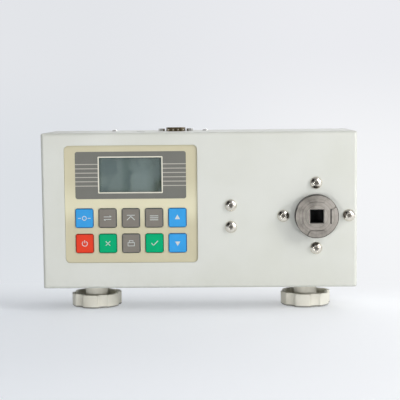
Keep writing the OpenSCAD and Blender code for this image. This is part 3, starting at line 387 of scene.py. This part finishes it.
def printed_sheet(bm, x, z, width, height, radius, depth, thick):
    """A round-cornered sheet in the panel's plane: its face at depth - thick."""
    made = bmesh.ops.create_grid(bm, x_segments=1, y_segments=1, size=0.5)["verts"]
    bmesh.ops.scale(bm, vec=(width * mm, height * mm, 1), verts=made)
    bmesh.ops.rotate(bm, cent=(0, 0, 0), matrix=Matrix.Rotation(math.radians(90), 3, "X"), verts=made)
    bmesh.ops.translate(bm, vec=(x * mm, panel_y(depth), z * mm), verts=made)
    face = made[0].link_faces[0]
    if radius:
        corners = bmesh.ops.bevel(bm, geom=list(made), offset=radius * mm, segments=6, profile=0.5,
                                  affect="VERTICES", material=-1)
        face = max({f for v in corners["verts"] for f in v.link_faces}, key=lambda f: f.calc_area())
    grown = bmesh.ops.extrude_face_region(bm, geom=[face])["geom"]
    front = [v for v in grown if isinstance(v, bmesh.types.BMVert)]
    bmesh.ops.translate(bm, vec=(0, -thick * mm, 0), verts=front)


def cut_window(bm, x, z, width, height):
    """Cuts a square window right through what the bmesh holds, by four planes."""
    for across, sign in ((0, -1), (0, 1), (2, -1), (2, 1)):
        point, normal = [x * mm, 0, z * mm], [0, 0, 0]
        point[across] += sign * (width if across == 0 else height) / 2 * mm
        normal[across] = 1
        bmesh.ops.bisect_plane(bm, geom=bm.verts[:] + bm.edges[:] + bm.faces[:], plane_co=point,
                               plane_no=normal)
    inside = [f for f in bm.faces
              if abs(f.calc_center_median().x - x * mm) < width / 2 * mm - 1e-6
              and abs(f.calc_center_median().z - z * mm) < height / 2 * mm - 1e-6]
    rim = {e for f in inside for e in f.edges}
    bmesh.ops.delete(bm, geom=inside, context="FACES")
    open_edges = [e for e in rim if e.is_valid and e.is_boundary]
    bmesh.ops.bridge_loops(bm, edges=open_edges)


def ink(name, tint, low=0.5):
    """Screen-printing ink: matt, with a faint unevenness in its cover."""
    made = Finish(name)
    cover = made.noise(60, 3)
    deeper = tuple(c * 0.93 for c in tint[:3]) + (1,)
    made.show(Base_Color=made.tone(cover, tint, deeper), Roughness=low + 0.1 * cover,
              Normal=made.relief(made.noise(2600, 1), 0.00001, 0.25))
    return made


grey_ink = ink("warm_grey_ink", shade(105, 105, 98))
cream_ink = ink("cream_ink", shade(218, 215, 198))
stripe_ink = ink("stripe_ink", shade(174, 170, 160))

window_w, window_h = 53.6, 29.6
zone_left, zone_right = -106.0, -10.9
zone_low, zone_top = panel_mid + 10.4, panel_mid + 51.0
zone_radius = 2

bm = bmesh.new()
printed_sheet(bm, (zone_left + zone_right) / 2, (zone_low + zone_top) / 2, zone_right - zone_left,
              zone_top - zone_low, zone_radius, film_face, print_thick)
cut_window(bm, print_x, window_z, window_w, window_h)
new_piece("printed_grey_zone", bm, grey_ink, "case", smooth=False)

border, border_radius = 1.0, 0.8
bm = bmesh.new()
printed_sheet(bm, print_x, window_z, window_w + 2 * border, window_h + 2 * border, border_radius,
              film_face - print_thick, over_print)
cut_window(bm, print_x, window_z, window_w, window_h)
new_piece("window_border", bm, cream_ink, "case", smooth=False)

bm = bmesh.new()
stripes_from = window_w / 2 + border
stripe_h, stripe_pitch, top_stripe = 0.75, 3.71, panel_mid + 40.2
for row in range(6):
    for x_low, x_high in ((zone_left, print_x - stripes_from), (print_x + stripes_from, zone_right)):
        printed_sheet(bm, (x_low + x_high) / 2, top_stripe - row * stripe_pitch, x_high - x_low,
                      stripe_h, 0, film_face - print_thick, over_print)
new_piece("window_stripes", bm, stripe_ink, "case", smooth=False)


# Keys
# Ten moulded rubber-coated keys, each with a plain sign printed in pale ink: arrows, a
# power sign and simple pictures for what the key does.
key_pitch_x, key_pitch_z, key_mid_z = 20.0 * mm, 21.9 * mm, (panel_mid - 17.0) * mm
key_half_w, key_half_h = 7.75 * mm, 8.3 * mm


def key_finish(name, red, green, blue):
    made = Finish(name, Specular_IOR_Level=0.06)
    mottle = made.noise(180, 3)
    across = (made.axis("X") - print_x * mm).from_nearest(key_pitch_x)
    upward = (made.axis("Z") - (key_mid_z + key_pitch_z / 2)).from_nearest(key_pitch_z)
    # Painted shade: a dark rim round each key's face, where its edge falls into shadow.
    rim = (across + (1.0 * mm - key_half_w)).most(upward + (1.0 * mm - key_half_h))
    face = made.tone(mottle, shade(red, green, blue), shade(red * 0.94, green * 0.94, blue * 0.94))
    made.show(Base_Color=made.tone(rim.clear_of(0, 0.7 * mm), face,
                                   shade(red * 0.62, green * 0.68, blue * 0.72)),
              Roughness=0.38 + 0.14 * mottle,
              Normal=made.relief(made.noise(3200, 1), 0.000012, 0.4))
    return made


key_tints = {
    "key_blue": key_finish("key_blue", 60, 157, 222),
    "key_grey": key_finish("key_grey", 128, 123, 115),
    "key_red": key_finish("key_red", 226, 66, 42),
    "key_green": key_finish("key_green", 2, 168, 112),
}
for row in frame["record"]["subparts"]:
    if row["material_slot"] in key_tints:
        dress(key_tints[row["material_slot"]], row["node"])

sign_ink = ink("sign_ink", shade(196, 203, 200))


def stroke(bm, x0, z0, x1, z1, width, face):
    """A straight printed stroke between two points of the panel's plane."""
    run = math.hypot(x1 - x0, z1 - z0)
    place = Matrix.Translation(((x0 + x1) / 2 * mm, face - print_thick / 2 * mm, (z0 + z1) / 2 * mm))
    turn = Matrix.Rotation(-math.atan2(z1 - z0, x1 - x0), 4, "Y")
    size = Matrix.Diagonal((run * mm, print_thick * mm, width * mm, 1))
    bmesh.ops.create_cube(bm, size=1, matrix=place @ turn @ size)


def arc(bm, x, z, radius, width, start, sweep, face):
    """A printed arc, from start degrees anticlockwise over sweep degrees."""
    slab = 0.00001
    first = bmesh.ops.create_cube(bm, size=1, matrix=Matrix.Translation(
        ((x + radius) * mm, face - print_thick / 2 * mm, z * mm))
        @ Matrix.Diagonal((width * mm, print_thick * mm, slab, 1)))["verts"]
    bmesh.ops.rotate(bm, cent=(x * mm, 0, z * mm), verts=first,
                     matrix=Matrix.Rotation(-math.radians(start), 3, "Y"))
    ends = {f for v in first for f in v.link_faces}
    side = [f for f in ends if abs(f.calc_area() - width * mm * print_thick * mm) < 1e-12]
    bmesh.ops.delete(bm, geom=[f for f in ends if f not in side[:1]], context="FACES")
    bmesh.ops.spin(bm, geom=side[:1], cent=(x * mm, 0, z * mm), axis=(0, 1, 0),
                   angle=-math.radians(sweep), steps=max(6, int(sweep / 12)))


def arrow(bm, x, z, size, face, up_side):
    """A printed triangle that points up or down."""
    made = bmesh.ops.create_cone(bm, cap_ends=True, segments=3, radius1=size * mm, radius2=size * mm,
                                 depth=print_thick * mm)["verts"]
    bmesh.ops.rotate(bm, cent=(0, 0, 0), verts=made, matrix=Matrix.Rotation(math.radians(90), 3, "X"))
    low = min(v.co.z for v in made)
    high = max(v.co.z for v in made)
    if (sum(1 for v in made if v.co.z > (low + high) / 2) > 2) == up_side:
        bmesh.ops.rotate(bm, cent=(0, 0, 0), verts=made,
                         matrix=Matrix.Rotation(math.radians(180), 3, "Y"))
    bmesh.ops.translate(bm, vec=(x * mm, face - print_thick / 2 * mm, z * mm), verts=made)


def sign(bm, what, x, z, face):
    """One key's plain sign, round x and z on the key's face."""
    if what in ("up", "down"):
        arrow(bm, x, z, 2.6, face, what == "up")
    elif what == "power":
        arc(bm, x, z, 2.2, 0.6, 125, 290, face)
        stroke(bm, x, z + 0.4, x, z + 2.9, 0.6, face)
    elif what == "zero":
        arc(bm, x, z, 1.7, 0.6, 0, 360, face)
        stroke(bm, x - 5.4, z, x - 2.9, z, 0.6, face)
        stroke(bm, x + 2.9, z, x + 5.4, z, 0.6, face)
    elif what == "swap":
        for s in (-1, 1):
            stroke(bm, x - 3.2, z + s * 1.1, x + 3.2, z + s * 1.1, 0.5, face)
            stroke(bm, x + s * 3.2, z + s * 1.1, x + s * 1.8, z + s * 2.1, 0.5, face)
    elif what == "peak":
        stroke(bm, x - 3.4, z - 1.8, x, z + 1.4, 0.55, face)
        stroke(bm, x, z + 1.4, x + 3.4, z - 1.8, 0.55, face)
        stroke(bm, x - 3.4, z + 2.4, x + 3.4, z + 2.4, 0.5, face)
    elif what == "store":
        for k in (-1, 0, 1):
            stroke(bm, x - 3.6, z + k * 1.7, x + 3.6, z + k * 1.7, 0.55, face)
    elif what == "clear":
        stroke(bm, x - 1.9, z - 1.9, x + 1.9, z + 1.9, 0.6, face)
        stroke(bm, x - 1.9, z + 1.9, x + 1.9, z - 1.9, 0.6, face)
    elif what == "print":
        for z0, z1 in ((-2.2, -2.2), (0.6, 0.6)):
            stroke(bm, x - 3.0, z + z0, x + 3.0, z + z1, 0.5, face)
        for x0 in (-2.75, 2.75):
            stroke(bm, x + x0, z - 2.2, x + x0, z + 0.6, 0.5, face)
        stroke(bm, x - 1.6, z + 2.3, x + 1.6, z + 2.3, 0.5, face)
        for x0 in (-1.6, 1.6):
            stroke(bm, x + x0, z + 0.6, x + x0, z + 2.5, 0.45, face)
    elif what == "accept":
        stroke(bm, x - 2.6, z + 0.1, x - 0.6, z - 1.9, 0.6, face)
        stroke(bm, x - 0.75, z - 1.9, x + 3.0, z + 2.0, 0.6, face)


signs = {
    "key_top_1": "zero", "key_top_2": "swap", "key_top_3": "peak", "key_top_4": "store",
    "key_top_5": "up", "key_bottom_1": "power", "key_bottom_2": "clear", "key_bottom_3": "print",
    "key_bottom_4": "accept", "key_bottom_5": "down",
}
for name, what in signs.items():
    low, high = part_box(name)
    bm = bmesh.new()
    sign(bm, what, (low.x + high.x) / 2 / mm, (low.z + high.z) / 2 / mm, low.y)
    bmesh.ops.recalc_face_normals(bm, faces=bm.faces)
    new_piece(name + "_sign", bm, sign_ink, name + "_body", smooth=False)


# Display
# A grey-green liquid crystal panel, switched off, in a pressed frame, behind a clear
# acrylic window that is bonded under the film.
clear_acrylic = Finish("clear_acrylic", Base_Color=(0.02, 0.03, 0.03, 1), Roughness=0.05, IOR=1.49,
                       Alpha=0.2)
dress(clear_acrylic, "display_window")

# Painted reflections: faint clouds and a lighter band, strongest low down. Painted shade: a darker
# band and the shadow of the window's upper rim.
crystal = Finish("liquid_crystal", Specular_IOR_Level=0.1)
crystal_cloud = crystal.noise(110, 3, where=crystal.place((1, 1, 0.7)))
drift = (crystal_cloud - 0.5) * 0.012
crystal_x = crystal.axis("X") - print_x * mm + drift
painted_reflection_band = crystal_x.clear_of(-1.4 * mm, 5.6 * mm) * (1 - crystal_x.clear_of(12.6 * mm, 22.6 * mm))
crystal_z = crystal.axis("Z") + drift
lower_part = 1 - crystal_z.clear_of((window_z - 3) * mm, (window_z + 9) * mm)
behind_rim = crystal.axis("Z").clear_of((window_z + 13.2) * mm, (window_z + 14.6) * mm)
painted_shadow_band = crystal_x.clear_of(-8.4 * mm, -3.4 * mm) * (1 - crystal_x.clear_of(-2.4 * mm, 1.6 * mm))
green_edge = crystal_x.clear_of(12.6 * mm, 24.6 * mm)
crystal_tone = crystal.tone(green_edge, shade(134, 152, 151), shade(122, 136, 118))
crystal_tone = crystal.tone(crystal_cloud.clear_of(0.38, 0.62), crystal_tone, shade(152, 170, 166))
crystal_tone = crystal.tone(painted_reflection_band * (0.2 + 0.5 * lower_part), crystal_tone, shade(168, 186, 182))
crystal_tone = crystal.tone(behind_rim * 0.5, crystal_tone, shade(62, 74, 72))
crystal.show(Base_Color=crystal.tone(painted_shadow_band * 0.45, crystal_tone, shade(100, 122, 115)),
             Roughness=0.3 + 0.1 * crystal_cloud)
dress(crystal, "lcd_glass")


# Torque head
# A turned steel disc with a black finish and four raised lands round a square socket. The tool
# has left fine rings on the faces, and the socket's edge is rubbed bright. Its outer chamfer, the
# lands' walls, a band at the lands' feet and the socket's inside are darkened as painted shade.
head_x, head_z = 100 * mm, 83.6 * mm
disc_face_y = -45.4 * mm
disc_radius, socket_half = 18.5 * mm, 5.6 * mm


def lathe_rings(made, centre, pitch, flat=(1, 0, 1)):
    """The fine groove that a lathe's tool leaves, as a height from -1 to 1."""
    wobble = made.noise(90, 2)
    return made.node("ShaderNodeMath", {"operation": "SINE"}, {
        0: made.flat_distance(centre, flat) * (2 * math.pi / pitch) + wobble * 2.0}).wire("Value")


disc_steel = Finish("disc_steel")
disc_centre = (head_x, 0, head_z)
spread = disc_steel.flat_distance(disc_centre)
rings = lathe_rings(disc_steel, disc_centre, 0.0005)
broad_rings = disc_steel.noise(1, 3, where=disc_steel.node(
    "ShaderNodeCombineXYZ", {}, {"X": spread * 900}).wire("Vector"))
patch = disc_steel.noise(75, 4, 0.6)
grit = disc_steel.noise(900, 3, 0.6)
off_centre = disc_steel.place((1, 0, 1), disc_centre)
beside = disc_steel.node("ShaderNodeVectorMath", {"operation": "ABSOLUTE"},
                         {0: off_centre}).wire("Vector")
square = disc_steel.axis("X", beside).most(disc_steel.axis("Z", beside))
disc_y = disc_steel.axis("Y")
deep = disc_y.clear_of(disc_face_y + 0.3 * mm, disc_face_y + 0.9 * mm)
# Painted shade: the socket's inside is near black.
in_socket = (1 - square.clear_of(socket_half, socket_half + 0.2 * mm)) * deep
outer_chamfer = spread.clear_of(disc_radius - 0.6 * mm, disc_radius - 0.3 * mm)
land_walls = disc_y.clear_of(disc_face_y - 1.5 * mm, disc_face_y - 1.3 * mm) * (
    1 - disc_y.clear_of(disc_face_y - 0.3 * mm, disc_face_y - 0.1 * mm))
land_foot, land_half_w = 12.5 * mm, 5.8 * mm
least_beside = disc_steel.axis("X", beside).least(disc_steel.axis("Z", beside))
at_foot = square.clear_of(land_foot - 1.6 * mm, land_foot - 0.7 * mm) * (
    1 - square.clear_of(land_foot, land_foot + 0.3 * mm)) * (
    1 - least_beside.clear_of(land_half_w, land_half_w + 1.2 * mm)) * (
    disc_y.clear_of(disc_face_y - 0.5 * mm, disc_face_y - 0.2 * mm))
on_right = disc_steel.axis("X", off_centre).clear_of(10 * mm, 11 * mm)
# Painted shade: the outer chamfer, the lands' walls and a band at the lands' feet, darkest beside the
# right land.
painted_edge_shade = (outer_chamfer * 0.85).most(land_walls * 0.9).most(at_foot * (0.3 + 0.65 * on_right))
rubbed = (1 - square.clear_of(socket_half + 0.3 * mm, socket_half + 0.9 * mm)) * (1 - deep)
steel_tone = disc_steel.tone(patch.clear_of(0.35, 0.68) * 0.6 + broad_rings.clear_of(0.4, 0.7) * 0.4,
                             (0.36, 0.334, 0.300, 1), (0.13, 0.120, 0.105, 1))
steel_tone = disc_steel.tone(rubbed * 0.8, steel_tone, (0.72, 0.69, 0.64, 1))
steel_tone = disc_steel.tone(painted_edge_shade, steel_tone, (0.035, 0.03, 0.028, 1))
disc_steel.show(Base_Color=disc_steel.tone(in_socket, steel_tone, (0.006, 0.006, 0.006, 1)),
                Metallic=1 - 0.85 * in_socket,
                Roughness=0.30 + 0.14 * patch + 0.08 * grit + 0.3 * in_socket,
                Normal=disc_steel.relief(rings * 0.5 + grit * 0.6 + broad_rings * 1.2, 0.00003, 0.6))
dress(disc_steel, "torque_head")


# Screws
# Zinc-plated button heads, jack screws and pan heads: bright, with a faint haze in the
# plating and soft rounded edges, and painted shade in the button heads' hexagon recesses.
def plated(name, light, dark, low, recess=None):
    """Metal with a haze in its plating, and a painted shade where recess is 1."""
    made = Finish(name, Metallic=1.0)
    haze = made.noise(420, 3, 0.6)
    soft = made.node("ShaderNodeBevel", {"samples": 4}, {"Radius": 0.0002}).wire("Normal")
    cover = made.tone(haze.clear_of(0.3, 0.75), light, dark)
    if recess:
        cover = made.tone(recess(made), cover, (0.16, 0.145, 0.125, 1))
    made.show(Base_Color=cover, Roughness=low + 0.12 * haze,
              Normal=made.relief(made.noise(2500, 2), 0.000006, 0.4, soft))
    return made


beam_x = head_x - 72.8 * mm
head_pitch_radius, beam_half_pitch = 28 * mm, 9.25 * mm
button_axes = [(head_x + head_pitch_radius, 0, head_z), (head_x - head_pitch_radius, 0, head_z),
               (head_x, 0, head_z + head_pitch_radius), (head_x, 0, head_z - head_pitch_radius),
               (beam_x, 0, head_z + beam_half_pitch), (beam_x, 0, head_z - beam_half_pitch)]
button_face_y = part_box("head_screws")[0].y


def button_recess_shade(made):
    """1 in the middle of the hexagon recess of each button head, where shade is painted, 0 elsewhere."""
    nearest = made.flat_distance(button_axes[0])
    for axis in button_axes[1:]:
        nearest = nearest.least(made.flat_distance(axis))
    return (1 - nearest.clear_of(1.4 * mm, 1.9 * mm)) * made.axis("Y").clear_of(
        button_face_y + 0.25 * mm, button_face_y + 0.7 * mm)


button_zinc = plated("button_zinc", (0.82, 0.78, 0.70, 1), (0.68, 0.64, 0.56, 1), 0.14, button_recess_shade)
dress(button_zinc, "head_screws", "load_cell_screws")
bright_zinc = plated("bright_zinc", (0.80, 0.79, 0.77, 1), (0.66, 0.65, 0.62, 1), 0.18)
dress(bright_zinc, "bracket_screws", "rear_cover_screws", "jack_screws", "plate_nuts", "board_screws",
      "strap_screws", "foot_nuts", "left_foot_stud", "right_foot_stud")
black_steel = plated("black_steel", (0.045, 0.045, 0.05, 1), (0.03, 0.03, 0.03, 1), 0.35)
dress(black_steel, "lever_clamp_screw", "load_cell_bolts")


# Hand knob feet
# Star-shaped knobs moulded in light beige plastic, hollow side up under the case, with a
# rubber pad under each.
foot_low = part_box("left_foot_knob")[0].z


def moulded(name, tint, worn, low, grain=1800, contact_shadow=0.0):
    """Plastic or rubber with a fine grain; its last argument sets how dark a painted contact shadow
    along the lowest edge is.
    """
    made = Finish(name)
    cloud = made.noise(45, 3)
    soft = made.node("ShaderNodeBevel", {"samples": 4}, {"Radius": 0.0004}).wire("Normal")
    # Painted shadow: the lowest edge is darkened where the knob meets the bench.
    lowest_edge_shadow = 1 - made.axis("Z").clear_of(foot_low + 0.9 * mm, foot_low + 1.5 * mm)
    clean = made.tone(cloud.clear_of(0.3, 0.75), tint, worn)
    made.show(Base_Color=made.tone(lowest_edge_shadow * contact_shadow, clean, shade(70, 72, 66)),
              Roughness=low + 0.12 * cloud,
              Normal=made.relief(made.noise(grain, 2), 0.00002, 0.35, soft))
    return made


knob_plastic = moulded("knob_plastic", shade(226, 223, 211), shade(218, 214, 200), 0.4, contact_shadow=0.75)
dress(knob_plastic, "left_foot_knob", "right_foot_knob")
black_rubber = moulded("black_rubber", shade(46, 46, 46), shade(60, 60, 58), 0.75, 900)
dress(black_rubber, "left_foot_pad", "right_foot_pad", "rear_bumpers")


# Serial connector
# A pressed shell in yellow-passivated steel, flanged under the top face, round a black
# moulding with nine contacts. Four dimples pressed in its front grip the plug.
yellow_zinc = plated("yellow_zinc", (0.20, 0.155, 0.10, 1), (0.12, 0.095, 0.06, 1), 0.28)
dress(yellow_zinc, "serial_shell")
# Painted highlight: the dimples are a lighter copy of the shell's zinc.
dimple_highlight_zinc = plated("dimple_highlight_zinc", (0.62, 0.55, 0.42, 1), (0.50, 0.44, 0.34, 1), 0.25)
shell_low, shell_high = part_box("serial_shell")
shell_mid_x = (shell_low.x + shell_high.x) / 2
shell_half_d = 4.2 * mm
shell_front_y = (shell_low.y + shell_high.y) / 2 - shell_half_d
dimple_pitch, dimple_drop = 4.3 * mm, 2.1 * mm
dimple_shape = Matrix.Diagonal((0.9 * mm, 0.35 * mm, 0.8 * mm, 1))
bm = bmesh.new()
for step in (-1.5, -0.5, 0.5, 1.5):
    place = Matrix.Translation((shell_mid_x + step * dimple_pitch, shell_front_y,
                                shell_high.z - dimple_drop))
    bmesh.ops.create_uvsphere(bm, u_segments=16, v_segments=10, radius=1,
                              matrix=place @ dimple_shape)
new_piece("shell_dimples", bm, dimple_highlight_zinc, "case")
black_moulding = moulded("black_moulding", shade(34, 34, 34), shade(44, 44, 43), 0.5)
dress(black_moulding, "serial_insert", "power_inlet", "key_switches")


# Works inside the case
# Bearings, lever, beam, boards, flat cable and battery, each in its plain workshop finish.
machined = plated("machined_aluminium", (0.70, 0.71, 0.73, 1), (0.62, 0.63, 0.65, 1), 0.3)
dress(machined, "bearing_housing", "outer_spacer", "inner_spacer", "lever_arm", "load_cell",
      "load_cell_block")
bare_steel = plated("bare_steel", (0.56, 0.55, 0.53, 1), (0.46, 0.45, 0.43, 1), 0.26)
dress(bare_steel, "outer_races", "inner_races", "bearing_balls", "housing_circlip", "shaft_nut",
      "lcd_frame", "board_bracket", "battery_strap")

board_lacquer = Finish("board_lacquer")
weave = board_lacquer.noise(1600, 1)
tracks = board_lacquer.node("ShaderNodeTexBrick", {"offset": 0.5}, {
    "Vector": board_lacquer.place((90, 0, 90)), "Scale": 3.0, "Mortar Size": 0.04}).wire("Fac")
board_lacquer.show(
    Base_Color=board_lacquer.tone(tracks * 0.6, shade(24, 92, 58), shade(44, 122, 78)),
    Roughness=0.3 + 0.15 * weave, Normal=board_lacquer.relief(tracks + weave * 0.3, 0.00003, 0.3))
dress(board_lacquer, "lcd_board", "key_board", "main_board")
chip_black = moulded("chip_black", shade(38, 38, 40), shade(50, 50, 50), 0.45)
dress(chip_black, "board_components")
gauge_foil = moulded("gauge_foil", shade(214, 150, 70), shade(196, 132, 60), 0.3)
dress(gauge_foil, "strain_gauges")
battery_wrap = moulded("battery_wrap", shade(52, 92, 150), shade(44, 80, 136), 0.22)
dress(battery_wrap, "battery_pack")

cable_grey = Finish("cable_grey")
conductor = cable_grey.node("ShaderNodeTexWave", {"bands_direction": "X"}, {
    "Vector": cable_grey.place(), "Scale": 125.0}).wire("Fac")
cable_grey.show(Base_Color=cable_grey.tone(conductor, shade(158, 158, 160), shade(178, 178, 180)),
                Roughness=0.5, Normal=cable_grey.relief(conductor, 0.0002, 0.6))
dress(cable_grey, "ribbon_cable")
